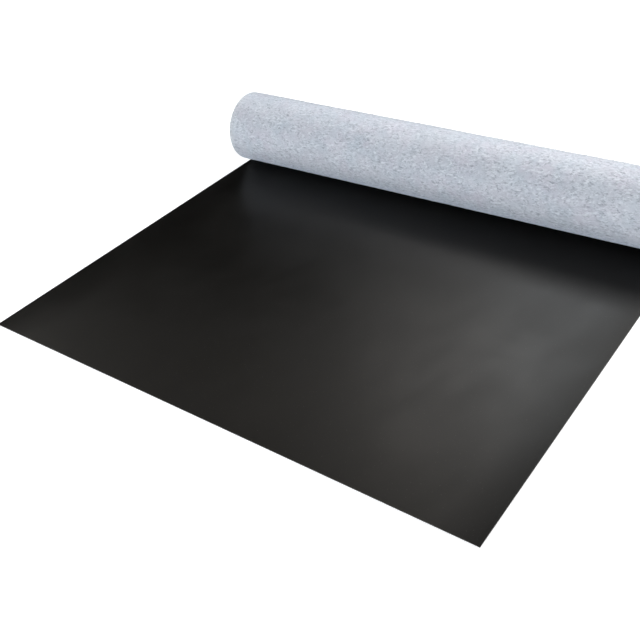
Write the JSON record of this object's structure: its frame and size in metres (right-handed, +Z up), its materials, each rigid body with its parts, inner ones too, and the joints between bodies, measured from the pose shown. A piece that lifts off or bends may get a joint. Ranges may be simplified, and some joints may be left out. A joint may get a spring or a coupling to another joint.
{
  "type": "roll of roofing felt",
  "caption": "Partly unrolled roll of fleece-backed roofing felt: a flat black sheet lies in front of the wound roll, whose outside is grey fleece around an open bore.",
  "frame": {"origin": "middle of the footprint, on the floor under the sheet", "axes": "+X along the roll's axis, +Y from the sheet's free cut edge towards the roll, +Z up"},
  "size_m": [1, 0.834, 0.148],
  "materials": {
    "membrane": "smooth matt black waterproof face with a soft sheen",
    "fleece": "needle-punched blue-grey fleece with light and dark flecks"
  },
  "bodies": {
    "root": {"felt_roll": "membrane"}
  },
  "joints": []
}
